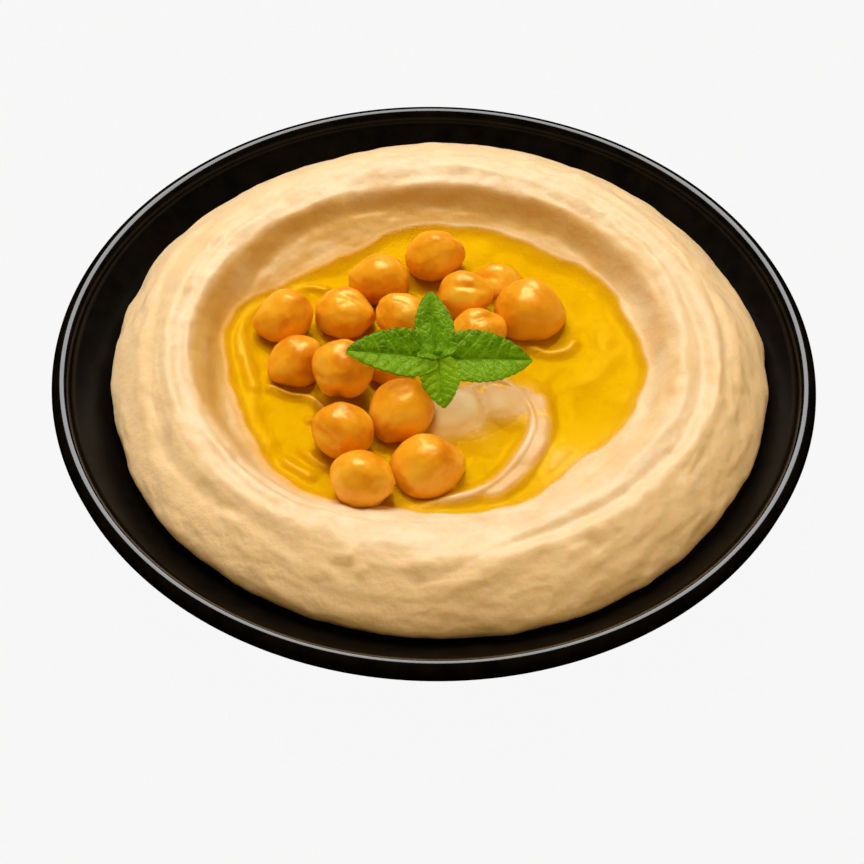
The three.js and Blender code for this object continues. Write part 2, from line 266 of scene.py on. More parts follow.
def placeCamera(settings):
    half = settings["picture"] / 2
    aside = (settings["rimCentre"][0] - half) / settings["focal"]
    above = (half - settings["rimCentre"][1]) / settings["focal"]
    elevation = math.radians(settings["elevation"])
    distance = settings["distance"]
    eyeHeight = settings["rimHeight"] + math.sin(elevation) * distance
    bpy.ops.object.camera_add(location=(-aside * distance, -math.cos(elevation) * distance, eyeHeight))
    eye = bpy.context.object
    eye.name = "Camera"
    eye.data.lens = settings["focal"] / settings["picture"] * settings["sensor"]
    eye.data.sensor_width = settings["sensor"]
    eye.data.clip_end = settings["farthest"]
    pitch = math.pi / 2 - (elevation + math.atan(above))
    turn = Matrix.Rotation(pitch, 4, "X") @ Matrix.Rotation(math.radians(settings["roll"]), 4, "Z")
    eye.rotation_euler = turn.to_euler()
    bpy.context.scene.camera = eye


deselectAll()
placeCamera(camera)
print("camera placed")


# Studio: a pale floor and large soft lights, the strongest overhead and a little behind

studio = {
    "floorSize": 40,
    "floorDrop": 0.0002,  # how far it lies below the dish's foot
    "floorGlow": 1.0,  # how much of its pale colour the floor gives by itself
    "floorShade": "#181818",  # what the floor adds by reflecting the lights
    "paleness": "#F6F6F6",
    "air": 0.44,  # the pale room lights matt surfaces and isn't mirrored
    "airTint": "#FFDD94",  # warm, from the pale wood and walls of a kitchen
    "lights": {
        "keyLight": {
            "at": (-0.22, 0.52, 1.06), "size": (0.75, 0.55), "power": 13.5, "tint": "#FFFEFA",
            "onMatt": True, "onGloss": False},
        "backSoftbox": {
            "at": (0, 0.8, 0.92), "size": (0.75, 0.75), "power": 8.0, "tint": "#FFFFFF",
            "onMatt": False, "onGloss": True},
        "frontFill": {
            "at": (0.95, -0.9, 0.9), "size": (1.0, 0.6), "power": 2.6, "tint": "#FFDE9C",
            "onMatt": True, "onGloss": False},
    },
}


def buildStudio(settings):
    bpy.ops.mesh.primitive_plane_add(size=settings["floorSize"], location=(0, 0, -settings["floorDrop"]))
    floor = bpy.context.object
    floor.name = "floor"
    material, tree = newMaterial("paleStudioFloor")
    glow = addNode(tree, "Emission",
                   values={"Color": linear(settings["paleness"]), "Strength": settings["floorGlow"]})
    board = addNode(tree, "BsdfDiffuse", values={"Color": linear(settings["floorShade"])})
    both = addNode(tree, "AddShader", links={0: glow, 1: board})
    addNode(tree, "OutputMaterial", links={"Surface": both})
    floor.data.materials.append(material)
    floor.visible_glossy = False
    floor.visible_diffuse = False
    world = bpy.data.worlds.new("studioAir")
    world.use_nodes = True
    air = world.node_tree.nodes["Background"].inputs
    air["Color"].default_value = linear(settings["airTint"])
    air["Strength"].default_value = settings["air"]
    world.cycles_visibility.glossy = False
    bpy.context.scene.world = world
    for name, light in settings["lights"].items():
        bpy.ops.object.light_add(type="AREA", location=light["at"])
        lamp = bpy.context.object
        lamp.name = name
        lamp.data.shape = "RECTANGLE"
        lamp.data.size, lamp.data.size_y = light["size"]
        lamp.data.energy = light["power"]
        lamp.data.color = linear(light["tint"])[:3]
        lamp.visible_diffuse = light["onMatt"]
        lamp.visible_glossy = light["onGloss"]
        lamp.visible_camera = False
        lamp.rotation_euler = (-lamp.location).to_track_quat("-Z", "Y").to_euler()
    scene = bpy.context.scene
    scene.view_settings.view_transform = "Standard"
    scene.view_settings.look = "None"


buildStudio(studio)
print("studio lit")


# Dish: thrown stoneware under a black satin glaze

dish = {
    "radius": 75,
    "height": 24,
    "lipRadius": 1.86,
    "lipShine": (0.6, 0.2),  # below the top, where the glaze turns from satin to glossy
    "floorHeight": 8,
    "floorRadius": 38,
    "floorRings": (30, 20, 10, 0),
    "hollow": 1.5,  # how much the inner wall steepens outwards
    "footRadius": 39,
    "footWidth": 6,
    "footRecess": 1,
    "footEdges": (0.3, 0.5),  # the small slants on the foot's inner and outer edge
    "outerWall": [(40.4, 2.6), (51, 6.2), (62, 11.4), (70, 16.2), (72.4, 18), (74.4, 20)],
    "rows": (28, 20, 34),  # up the outer wall, over the lip and down the inner wall
    "steps": 300,
    "throwing": {  # fine rings from the potter's fingers on the inner wall
        "depth": 0.02, "spacing": 2.3, "start": (44, 50), "end": (69, 72), "above": 8.5},
    "glaze": "#060504",
    "glazeWarm": "#120D08",
    "blotches": 220,  # 4 to 5 mm across
    "pits": 1400,  # pits 0.7 mm apart, coarser than real ones so that they show
}
dish["lipInner"] = dish["radius"] - 2 * dish["lipRadius"]
dish["lipMiddle"] = dish["height"] - dish["lipRadius"]


def dishInside(radius):
    reach = np.clip((radius - dish["floorRadius"]) / (dish["lipInner"] - dish["floorRadius"]), 0, 1)
    return dish["floorHeight"] + (dish["lipMiddle"] - dish["floorHeight"]) * reach ** dish["hollow"]


def dishProfile():
    foot, lip = dish["footRadius"], dish["lipRadius"]
    recess = foot - dish["footWidth"]
    rise = dish["footRecess"]
    inside, outside = dish["footEdges"]
    outerRows, lipRows, innerRows = dish["rows"]
    profile = [(0, rise), (recess - rise, rise), (recess - inside, inside), (recess, 0), (foot, 0)]
    profile += [(foot + outside, outside)]
    profile += [tuple(point) for point in curveThrough(dish["outerWall"], outerRows)]
    profile += [(dish["radius"] - lip + lip * math.cos(turn), dish["lipMiddle"] + lip * math.sin(turn))
                for turn in np.linspace(0, math.pi, lipRows)]
    profile += [(radius, float(dishInside(radius)))
                for radius in np.linspace(dish["lipInner"], dish["floorRadius"], innerRows)[1:]]
    return profile + [(radius, dish["floorHeight"]) for radius in dish["floorRings"]]


def buildDish():
    piece = spinShape("stoneware_dish", dishProfile(), dish["steps"])
    points = pointsOf(piece)
    radius = np.hypot(points[:, 0], points[:, 1])
    throwing = dish["throwing"]
    rings = np.sin(math.tau * radius / throwing["spacing"] + np.arctan2(points[:, 1], points[:, 0]))
    rings *= within(radius, throwing["start"], throwing["end"]) * (points[:, 2] > throwing["above"])
    points[:, 2] += throwing["depth"] * rings
    movePoints(piece, points)
    low, high = dish["lipShine"]
    storeValues(piece, "lip", smooth(dish["height"] - low, dish["height"] - high, points[:, 2]))
    shadeSmooth(piece)
    return piece


def glazedStoneware():
    # Stoneware fired with a black glaze: satin on the wall, and glossy where it ran thin on the lip.
    material, tree = newMaterial("glazedBlackStoneware")
    place = addNode(tree, "TexCoord").outputs["Object"]
    colour = blotched(tree, place, dish, [(0.35, "glaze"), (0.75, "glazeWarm")], 4, 0.6)
    lip = addNode(tree, "Attribute", {"attribute_name": "lip"}).outputs["Fac"]
    rough = addNode(tree, "MapRange", links={"Value": lip}, values={"To Min": 0.3, "To Max": 0.16})
    normal = grained(tree, place, {"Scale": dish["pits"], "Detail": 2},
                     {"Strength": 0.12, "Distance": 0.00006})
    glaze = addNode(tree, "BsdfPrincipled",
                    values={"IOR": 1.5, "Specular IOR Level": 0.14, "Coat IOR": 1.6, "Coat Roughness": 0.1},
                    links={"Base Color": colour, "Roughness": rough, "Coat Weight": lip, "Normal": normal})
    addNode(tree, "OutputMaterial", links={"Surface": glaze})
    return material


finishPiece(buildDish(), "dish", glazedStoneware())
print("dish spun and glazed")


# Chickpeas: where each one lies is needed for the oil too

chickpeas = {
    "places": [  # middle, radius, and how the beak points: turn, down, and roll
        (-29.8, 10.6, 26.2, 5.35, 192, 18, 0),
        (-18.1, 12.6, 25.1, 5.4, -12, -12, 170),
        (-11, 21.5, 25.7, 5.35, 168, 5, 200),
        (-0.5, 28.1, 26, 5.35, 10, -8, 150),
        (-6.3, 9.8, 27.3, 5, 158, -18, 190),
        (5.7, 16.6, 26.7, 5.05, -14, -20, 200),
        (12.5, 23.2, 22.8, 4.7, 170, 0, 160),
        (18.6, 13.6, 25.7, 6.3, -8, 6, 40),
        (8.3, 6.1, 26.8, 5, 25, -10, 180),
        (-26.9, -0.5, 25.1, 5.3, 215, 10, 330),
        (-17.7, -6.4, 30, 6, 262, -30, 0),
        (-17.4, -20, 27, 5.6, 165, -10, 120),
        (-6.3, -13.6, 25.7, 6.15, 236, 14, 60),
        (-13.5, -32.2, 27.4, 5.7, -10, 8, 300),
        (-1.2, -27, 24.9, 6.45, 12, 0, 30),
        (-9, -0.2, 25.5, 4.9, 90, -70, 0),
    ],
    "form": (1.08, 1, 0.96),  # length along the beak, width and height
    "swell": 1.01,  # soaked in oil, they press against each other
    "beak": (0.1, 0.45),  # height as a share of the radius, and width in radians
    "crease": (0.1, 0.16),  # depth and width as shares of the radius, as for the seam
    "seam": (0.03, 0.12),
    "ribs": 0.02,  # five faint ones run from the beak to the back
    "looseSkin": [  # height and size of the folds, seed, and shift from chickpea to chickpea
        (0.075, 0.8, 31, 7), (0.036, 0.38, 32, 3), (0.009, 0.17, 33, 5)],
    "fineness": 6,
    "skin": "#F6AC1C",
    "skinPale": "#FFC43C",
    "skinDeep": "#DC8106",
    "sheen": "#FFD890",  # the oil on the skin turns what it mirrors golden
    "blotches": 130,  # 7 to 8 mm across
    "wrinkles": 450,  # 2 mm apart
}


# Hummus: spread with the back of a spoon into a thick ring round a shallow basin

mound = {
    "middleX": 1,
    "crestRadius": 51.5,
    "crestHeight": 30.7,
    "fall": 0.07,  # how fast the crest drops outwards
    "rows": [(0, 20, 24), (20, 55, 88)],  # from one radius to another, and how many rows of points
    "steps": 576,
    "flank": [  # radius and height down the outer side
        (55, 29.84), (57, 28.58), (59.3, 27), (61.6, 24.9), (63.6, 22.7), (64.4, 20.8), (63.6, 18.9),
        (62.4, 17.4)],
    "underRadii": (60, 53, 38, 19),
    "underGap": 0.45,
    "floorGap": 0.3,
    "oilLevel": 24,
    "oilDepth": 1.8,
    "shoreWidth": 1.2,
    "flatShore": (1.6, -38, 0.45),  # how much wider, towards where, and over what angle
    "shelfSlope": (0.28, 0.12),  # and how much less of it in front of the far wall
    "wallRadius": 45.2,
    "wallSway": (1.2, 195),  # how far the ring's wall lies out, and towards where
    "wallWidth": 6.4,
    "hollow": (95, 85, 150),  # the wall is steep here: middle, full, gone
    "easing": (98, 0.9),  # at the far side the wall is lower and rounder
    "leftFoot": (180, 0.5),  # at the left its foot lies further in
    "poolRadii": [  # of the oil's edge, every 20 degrees from +X round to the far side
        40.5, 40, 40.1, 38.4, 39.2, 38.6, 35.8, 36.9, 43, 42, 40, 41.6, 39.9, 37, 38.1, 37.6, 36.3, 39.1],
    "poolWaves": [(0.28, 11, 1), (0.18, 23, 2), (0.1, 41, 0)],
    "paste": "#EBD5B4",
    "pasteDeep": "#E8C8A0",
    "pasteLight": "#F1E0C4",
    # painted warm shade: the paste on the outer ring and flank is tinted as if lit by warm bounced light
    "pasteInPaintedShade": "#EFD3AA",
    "oiledPaste": "#DCAF62",
    "wettedPaste": "#F2BE46",
    # oil stain with painted shade: the far wall and shelf are darkened as if in the crest's shade
    "stainAndShadePaste": "#D3A751",
    "blotches": 130,  # 7 to 8 mm across
    "lumps": 520,  # crushed chickpeas, 2 mm apart
    "grain": 1500,  # 0.7 mm, coarser than the real paste's so that it shows
    # Relief that the hand leaves: height, size and seed of each grade.
    "relief": {
        "bed": [(0.36, 7, 17), (0.2, 2.8, 18)],
        "streaks": [(0.08, 0.9, 3), (0.22, 2.2, 4)],
        "patches": [(1, 11, 12)],
        "streakiness": (0.25, 0.9, 1.3),  # everywhere, in patches and on the wall
        "lumps": [(0.34, 6.5, 5), (0.28, 3.2, 6)],
        "dabs": [(0.18, 1.9, 14), (0.07, 0.9, 15)],
        "flankWaves": [(0.3, 5, 1)],
        "flankTwist": (0.15, 9, 0.25),  # height, number of waves, and their slant
        "flankBulge": (0.7, 150, 0.12),
        "flankLumps": [(0.24, 6.5, 7), (0.05, 1, 16)],
        "flankDabs": [(0.3, 3, 8), (0.14, 1.5, 10)],
        "stripes": {"height": 0.16, "spacing": 3.6, "start": (40, 45), "end": (54, 58)},
        "channel": {  # where the spoon was drawn off at the right
            "depth": 0.9, "width": 1.6, "radius": 50.7, "sway": (0.8, -22), "sector": (-28, 30, 65)},
    },
    # Where oil has wetted or stained the paste, with painted shade on the far wall and painted warm shade on
    # the outer ring: directions as middle, full and gone, and reaches in mm from the edge.
    "oilAndShade": {
        "film": 0.9, "filmEnd": (-0.3, 0.8), "bare": 0.95, "bareAbove": (0.3, 0.9),
        "left": (178, 40, 100), "leftReach": (0.4, 3),
        "right": (5, 35, 75), "rightReach": (5, 12), "rightSmear": (0.3, 0.2, 1.6, 24),
        "far": (128, 62, 120), "farLip": (-2, 1), "farSmear": (0.96, 0.4, 1.6, 23),
        # the second strength is that of the far wall's oil stain and painted shade
        "creeping": 0.75, "stainAndShadeAmount": 0.9,
        # painted warm shade grows from the first radius to the second
        "paintedWarmShadeRadii": (48, 57),
    },
}
relief, oilAndShade = mound["relief"], mound["oilAndShade"]

# Ridges and grooves from the spoon round the ring: height, width, and (angle, radius) along each.
ringMarks = [
    (-0.54, 0.86, [
        (190, 50.6), (196, 50.2), (203, 48.9), (212, 48.6), (223, 48.1), (233, 47.9), (241, 46.5),
        (249, 45.4), (257, 43.8), (265, 42.6), (276, 42.2)]),
    (0.25, 1.03, [(188, 52.4), (203, 51), (223, 50), (241, 48.4), (257, 45.8), (276, 44.2)]),
    (0.18, 0.8, [(190, 48.8), (212, 46.8), (233, 46), (249, 43.6), (262, 41.4)]),
    (0.45, 1.6, [(196, 54.4), (213, 55), (229, 53.2), (250, 52.3), (266, 50.5)]),
    (-0.45, 1.3, [(204, 57.4), (216, 58), (230, 56.4), (244, 55.4)]),
    (-0.5, 1.03, [
        (262, 58), (270, 56.8), (276, 54.4), (281, 52.2), (290, 51), (300, 50.4), (309, 50.8),
        (318, 49.9), (330, 51.5), (339, 52.6), (350, 51.6), (364, 50.5), (384, 50.6)]),
    (0.4, 1.49, [
        (264, 59.4), (272, 58.4), (279, 56.6), (286, 55.2), (295, 54), (306, 54.3), (319, 52.9),
        (330, 54.4), (338, 56.2), (350, 54.8), (364, 52.9), (386, 53)]),
    (0.25, 1.15, [(284, 48), (300, 47.4), (318, 47.2), (340, 48.6), (364, 48), (390, 48)]),
    (-0.36, 0.92, [(326, 57.2), (345, 57), (364, 55), (384, 54.8), (400, 54.5)]),
    (0.25, 1.15, [(338, 59), (364, 58.2), (384, 57.4), (398, 57)]),
    (-0.32, 0.69, [(312, 41.5), (317, 41.4), (323, 41.5), (328, 44)]),
    (-0.7, 1.5, [(140, 57.6), (156, 57.6), (172, 56.6), (186, 56.5), (200, 56.8), (212, 58.6)]),
    (0.55, 1.2, [(150, 60.2), (170, 59.2), (186, 58.9), (202, 59.6)]),
    (0.5, 1.3, [(138, 55), (150, 54.6), (165, 53.6), (180, 53.2), (192, 53.4), (204, 54.5)]),
    (-0.4, 1.0, [(120, 52.8), (140, 52), (160, 51), (178, 50.9), (192, 51.2)]),
    (-0.32, 0.92, [(131, 50.8), (136, 52.6), (143, 55), (150, 55.5), (155, 55.7), (159, 58.5)]),
    (0.22, 1.38, [(128, 53.6), (138, 55.6), (147, 57.6)]),
    (-0.5, 0.5, [(84, 43.2), (90, 42.8), (96, 42.9), (101, 43.5)]),
    (-0.6, 0.45, [(103, 40.2), (108, 39.8), (113, 39.6)]),
    (0.3, 0.8, [(74, 42), (86, 41.2), (95, 41.4), (104, 42.2), (118, 41.8)]),
    (0.4, 1.03, [(98, 50.6), (120, 51), (134, 49.8), (150, 51), (166, 50.4)]),
    (-0.5, 1.1, [(60, 52.6), (80, 53), (100, 53.6), (118, 53.2)]),
    (-0.4, 1.1, [(30, 46.4), (48, 46.8), (64, 47.4), (80, 47.8), (96, 47.6), (112, 48.2)]),
    (0.4, 0.92, [(20, 48.6), (40, 49), (60, 49.4), (80, 49.6), (96, 50.2)]),
]

# Low forms on the basin's floor: height, width, and (x, y) along each. A power of 4 gives a flat top.
basinMarks = [
    {"height": 2.3, "width": 1.7, "points": 90, "line": [
        (5, -6.2), (13, -3.2), (18, -8.7), (19.3, -15.2), (16.5, -23.2), (10.5, -30.7), (2, -34.7),
        (-8, -37.7)]},
    {"height": 1.9, "width": 2.6, "points": 60, "power": 4, "line": [
        (20.4, -8.4), (20.9, -14), (19.6, -20.4), (16.4, -26.6), (11.5, -31.8)]},
    {"height": 1, "width": 1.4, "points": 60, "line": [
        (-35.3, -5.2), (-37.3, 1.8), (-38.6, 8.8), (-36.8, 14.8), (-32.5, 19.3), (-26.5, 21.8)]},
    {"height": 1.3, "width": 0.8, "line": [
        (-38.4, 2.8), (-38.9, 7.9), (-37.9, 12.7), (-36.1, 16.8), (-31.9, 20.5), (-26.3, 21.7), (-22, 21)]},
    {"height": 1.6, "width": 0.9, "line": [(-31.8, -5.5), (-28, -7.3), (-24.1, -8.2), (-21.3, -11)]},
    {"height": 1.1, "width": 0.7, "line": [(-23.9, -13.9), (-21, -12.1)]},
    {"height": 1.3, "width": 1.1, "line": [(19.4, 5.9), (22.6, 4.6), (25.9, 5.4), (27.4, 7.6)]},
    {"height": 1.35, "width": 1.3, "line": [(-28.3, -24.7), (-26, -26.4), (-23.6, -28)]},
    {"height": 1.1, "width": 1.1, "line": [(-24.2, -22.4), (-22.6, -24.2), (-20.6, -25.7)]},
    {"height": 0.6, "width": 1.8, "line": [(-35.8, -9), (-34.6, -14), (-32, -19.4)]},
    {"height": 0.35, "width": 2.6, "line": [(26, -4), (31, -1), (33.5, 4), (33, 11)]},
    {"height": 0.3, "width": 2.4, "line": [(22, 20), (28, 15), (33, 15)]},
]

# Round forms that stand up from the basin's floor: middle, height and reach.
hump = {"at": (4.3, -11.5), "height": 2.3, "reach": (8.2, 8.6)}
crown = {"at": (4.3, -11.5), "height": 0.5, "reach": 6}
saddle = {"at": (14, -8.7), "height": 2.2, "reach": (7.5, 6.4)}
shallow = {"at": (24, -24), "height": 0.9, "reach": 5.5}

# Soft dents and small bumps on the crest and the flank: angle, radius, height, width.
pokes = [
    (253, 55.4, 0.5, 0.9), (256, 57.8, 0.6, 1.3), (251, 57.2, -0.6, 1.0), (205, 59.8, -0.7, 2.2),
    (298, 54.7, -0.4, 1.0), (301, 56.5, -0.5, 1.2), (47, 48.3, -0.5, 1.0), (42, 48.9, -0.4, 1.1),
    (5, 50.9, -0.45, 1.0), (10, 51.2, -0.35, 0.9), (136, 54, -0.35, 2.0), (126, 55.2, 0.3, 2.4),
    (148, 53.2, 0.3, 2.0), (219, 58.8, -0.5, 2.4), (238, 60.5, -0.4, 2.6), (282, 60.2, -0.5, 2.2),
    (266, 53.2, 0.3, 1.6), (325, 58.6, 0.4, 2.0), (230, 56.4, 0.3, 2.2), (246, 50.2, 0.25, 1.5),
    (345, 61, -0.4, 2.0), (30, 56, 0.35, 2.2), (18, 59.5, -0.4, 2.0), (60, 56, 0.3, 2.6),
    (85, 55.5, -0.3, 2.2), (104, 56, 0.3, 2.4), (163, 54.2, 0.3, 2.0), (310, 61.5, -0.45, 2.4),
]


def poolEdge(angle):
    # The oil's edge runs smoothly through its radii, once round.
    radii = np.array(mound["poolRadii"])
    place = angle / math.tau % 1 * len(radii)
    start = np.floor(place).astype(int)
    near = (radii[(start + step) % len(radii)] for step in (-1, 0, 1, 2))
    return onward(*near, place - start) + waves(angle, mound["poolWaves"])


def easing(angle):
    return towards(angle, *mound["easing"])


def hollowing(angle):
    return sector(angle, *mound["hollow"]) * (1 - 0.45 * easing(angle))


def wallLimits(angle):
    sway, direction = mound["wallSway"]
    middle = mound["wallRadius"] + sway * np.cos(angle - math.radians(direction))
    leftward = towards(angle, *mound["leftFoot"])
    foot = middle - mound["wallWidth"] / 2 + 0.4 * easing(angle) - leftward
    foot = np.maximum(foot, poolEdge(angle) + 0.4 - 0.4 * leftward)
    return foot, middle + mound["wallWidth"] / 2 - 2.7 * easing(angle)


def plateau(form, x, y):
    across = (x - form["at"][0]) / form["reach"][0]
    along = (y - form["at"][1]) / form["reach"][1]
    return form["height"] * bell(across, 1, 4) * bell(along, 1, 4)


def knoll(form, x, y):
    return form["height"] * bell(np.hypot(x - form["at"][0], y - form["at"][1]), form["reach"])


def basinRelief(x, y):
    total = plateau(hump, x, y) + knoll(crown, x, y)
    total = np.maximum.reduce([total, plateau(saddle, x, y), knoll(shallow, x, y)])
    for mark in basinMarks:
        line = curveThrough(mark["line"], mark.get("points", 12 * len(mark["line"])))
        rise = bell(distanceTo(line, x, y), mark["width"], mark.get("power", 2))
        total = np.maximum(total, mark["height"] * rise)
    return total


def stripes(radius, angle):
    form = relief["stripes"]
    band = within(radius, form["start"], form["end"]) * (0.6 + 0.4 * np.sin(angle * 2 + 0.8))
    return form["height"] * band * np.sin(math.tau * radius / form["spacing"] - angle)


def channel(radius, angle):
    form = relief["channel"]
    sway, direction = form["sway"]
    track = form["radius"] + sway * np.cos(angle - math.radians(direction))
    return -form["depth"] * sector(angle, *form["sector"]) * bell(radius - track, form["width"])


def hummusTop(radius, angle):
    edge = poolEdge(angle)
    x = mound["middleX"] + radius * np.cos(angle)
    y = radius * np.sin(angle)
    inward = np.maximum(edge - radius, 0)
    wider, direction, spread = mound["flatShore"]
    shore = mound["shoreWidth"] * (1 + wider * towards(angle, direction, spread))
    floor = mound["oilLevel"] - mound["oilDepth"] * (1 - np.exp(-inward / shore))
    inside = floor + basinRelief(x, y) * smooth(0, 4, inward)

    hollow = hollowing(angle)
    slope, less = mound["shelfSlope"]
    shelf = mound["oilLevel"] + (slope - less * hollow) * (radius - edge)
    gentle = smooth(edge - 1, mound["crestRadius"], radius)
    steep = smooth(*wallLimits(angle), radius)
    rise = gentle + (steep - gentle) * hollow
    fall = mound["fall"] * np.maximum(0, radius - mound["crestRadius"]) ** 2
    outside = shelf + (mound["crestHeight"] - shelf) * rise - fall
    outside += stripes(radius, angle) + channel(radius, angle)
    return np.where(radius < edge, inside, outside)


def spoonMarks(radius, angle):
    total = np.zeros(radius.shape)
    for height, width, track in ringMarks:
        turns, radii = np.array(track).T
        turns = np.radians(turns)
        along = (angle - turns[0]) % math.tau
        length = turns[-1] - turns[0]
        fade = within(along, (0, 0.12), (length - 0.12, length))
        middle = np.interp(along, turns - turns[0], radii)
        middle += 0.35 * np.sin(9 * angle + radii[0]) + 0.2 * np.sin(23 * angle)
        strength = 0.75 + 0.35 * np.sin(5 * angle + radii[1])
        total += height * strength * fade * bell(radius - middle, width)
    for turn, reach, height, width in pokes:
        x = radius * np.cos(angle) - reach * math.cos(math.radians(turn))
        y = radius * np.sin(angle) - reach * math.sin(math.radians(turn))
        total += height * bell(np.hypot(x, y), width)
    return total


def spoonStreaks(radius, angle, width, seed):
    # Unevenness drawn out along the spoon's way round, and closed after one turn.
    drift = radius + 1.2 * np.sin(angle + 0.6)
    spots = np.stack([7 * np.cos(angle), 7 * np.sin(angle), drift / width], axis=1)
    return unevenness(spots, 1, seed)


def dabbed(points, angle):
    # Spots that make unevenness longer round the ring than across it, slanting a little.
    across = np.hypot(points[:, 0], points[:, 1]) - points[:, 2] + 7 * np.sin(angle)
    return np.stack([38 * np.cos(angle), 38 * np.sin(angle), across], axis=1)


def handSpread(points, radius, angle):
    # All the fine relief of the ring: spoon marks, drawn-out streaks and soft lumps.
    flat = points * [1, 1, 0]
    streaks = sum(height * spoonStreaks(radius, angle, width, seed)
                  for height, width, seed in relief["streaks"])
    foot, lip = wallLimits(angle)
    wall = hollowing(angle) * within(radius, (foot - 1.5, foot + 1.5), (lip - 1, lip + 1.5))
    least, patchy, onWall = relief["streakiness"]
    streaks *= least + patchy * smooth(-0.5, 0.6, layered(flat, relief["patches"])) + onWall * wall
    lumps = layered(flat, relief["lumps"]) + layered(dabbed(flat, angle), relief["dabs"])
    return spoonMarks(radius, angle) + streaks + lumps


def flankPush(points, angle):
    # How far the outer side bulges: broad waves, and lumps that fade out at its foot.
    height = points[:, 2]
    size, count, slant = relief["flankTwist"]
    bulge, direction, spread = relief["flankBulge"]
    broad = waves(angle, relief["flankWaves"]) + size * np.sin(count * angle + slant * height)
    broad += bulge * towards(angle, direction, spread)
    rough = layered(points, relief["flankLumps"]) + layered(dabbed(points, angle), relief["flankDabs"])
    return broad * smooth(17.5, 22, height) + rough * smooth(17.3, 19, height)


def beyond(edge, reach):
    return tuple(edge + part for part in reach)


def smear(radius, angle, part):
    # Oil wiped on with the spoon, which on the far wall carries painted shade too: its mean, how much it
    # varies, the streaks' width and their seed.
    mean, spread, width, seed = part
    return np.clip(mean + spread * spoonStreaks(radius, angle, width, seed), 0, 1)


def storeOilAndShade(piece, height, radius, angle, isTop):
    edge = poolEdge(angle)
    lip = wallLimits(angle)[1]
    bare = oilAndShade["bare"] * smooth(*beyond(mound["oilLevel"], oilAndShade["bareAbove"]), height)
    film = 1 - smooth(*beyond(edge, oilAndShade["filmEnd"]), radius)
    left = sector(angle, *oilAndShade["left"]) * (1 - smooth(*beyond(edge, oilAndShade["leftReach"]), radius))
    right = sector(angle, *oilAndShade["right"]) * smear(radius, angle, oilAndShade["rightSmear"])
    right *= within(radius, (edge, edge + 1), beyond(edge, oilAndShade["rightReach"]))
    # far wall and shelf: an oil stain that also paints the wall's shade, in patches
    far = sector(angle, *oilAndShade["far"]) * smear(radius, angle, oilAndShade["farSmear"])
    far *= within(radius, (edge, edge + 1), beyond(lip, oilAndShade["farLip"]))
    storeValues(piece, "oiled", oilAndShade["film"] * film * (1 - bare) * isTop)
    storeValues(piece, "wetted", oilAndShade["creeping"] * np.clip(left + right, 0, 1) * isTop)
    storeValues(piece, "stainAndShade", oilAndShade["stainAndShadeAmount"] * far * isTop)
    # painted warm shade on the outer ring and flank, growing outwards
    storeValues(piece, "paintedWarmShade", smooth(*oilAndShade["paintedWarmShadeRadii"], radius))


def buildHummus():
    rows = np.unique(np.concatenate([np.linspace(*row) for row in mound["rows"]]))
    profile = [(radius, topMark) for radius in rows]
    profile += [tuple(point) for point in curveThrough(mound["flank"], 45)[1:]]
    profile += [(radius, float(dishInside(radius)) + mound["underGap"]) for radius in mound["underRadii"]]
    profile += [(0, dish["floorHeight"] + mound["floorGap"])]
    piece = spinShape("hummus_mound", profile, mound["steps"], mound["middleX"])
    points = pointsOf(piece)
    x = points[:, 0] - mound["middleX"]
    radius = np.hypot(x, points[:, 1])
    angle = np.arctan2(points[:, 1], x)
    isTop = points[:, 2] > topMark - 1
    isFlank = ~isTop & (radius > 54) & (points[:, 2] > 17.3)

    edge = poolEdge(angle)
    fine = handSpread(points, radius, angle)
    bed = layered(points * [1, 1, 0], relief["bed"]) * (1 - smooth(edge - 4, edge - 1, radius))
    top = hummusTop(radius, angle) + smooth(edge + 0.3, edge + 3.5, radius) * fine + bed
    grow = flankPush(points, angle) * smooth(55, 58, radius) * isFlank / np.maximum(radius, 1)
    points[:, 0] += x * grow
    points[:, 1] += points[:, 1] * grow
    points[:, 2] += fine * (1 - smooth(57, 62.5, radius)) * isFlank
    points[isTop, 2] = top[isTop]
    movePoints(piece, points)
    storeOilAndShade(piece, points[:, 2], radius, angle, isTop)
    shadeSmooth(piece)
    return piece


def spreadHummus():
    # Chickpea paste blended with tahini and spread by spoon: pale, dense, softly lit from inside.
    material, tree = newMaterial("blendedHummusPaste")
    place = addNode(tree, "TexCoord").outputs["Object"]
    shades = [(0.3, "pasteDeep"), (0.5, "paste"), (0.72, "pasteLight")]
    colour = blotched(tree, place, mound, shades, 5, 0.6)
    # the first shade is painted warm shade on the outer ring and flank; the last is an oil stain with
    # painted shade on the far wall
    colour = tintedBy(tree, colour, mound, [("paintedWarmShade", "pasteInPaintedShade"), ("wetted", "wettedPaste"),
                                            ("oiled", "oiledPaste"), ("stainAndShade", "stainAndShadePaste")])
    oiled = addNode(tree, "Attribute", {"attribute_name": "oiled"})
    rough = addNode(tree, "MapRange", links={"Value": oiled.outputs["Fac"]},
                    values={"From Max": oilAndShade["film"], "To Min": 0.5, "To Max": 0.42})
    lumpy = grained(tree, place, {"Scale": mound["lumps"], "Detail": 2, "Roughness": 0.5},
                    {"Strength": 0.5, "Distance": 0.0004})
    normal = grained(tree, place, {"Scale": mound["grain"], "Detail": 3, "Roughness": 0.65},
                     {"Strength": 0.3, "Distance": 0.00008}, lumpy)
    paste = addNode(tree, "BsdfPrincipled",
                    values={"IOR": 1.45, "Specular IOR Level": 0.8, "Subsurface Weight": 0.75,
                            "Subsurface Radius": (1, 0.5, 0.2), "Subsurface Scale": 0.0009},
                    links={"Base Color": colour, "Roughness": rough, "Normal": normal})
    addNode(tree, "OutputMaterial", links={"Surface": paste})
    return material


finishPiece(buildHummus(), "hummus", spreadHummus())
print("hummus spread")


# Olive oil: a shallow pool that creeps up everything standing in it

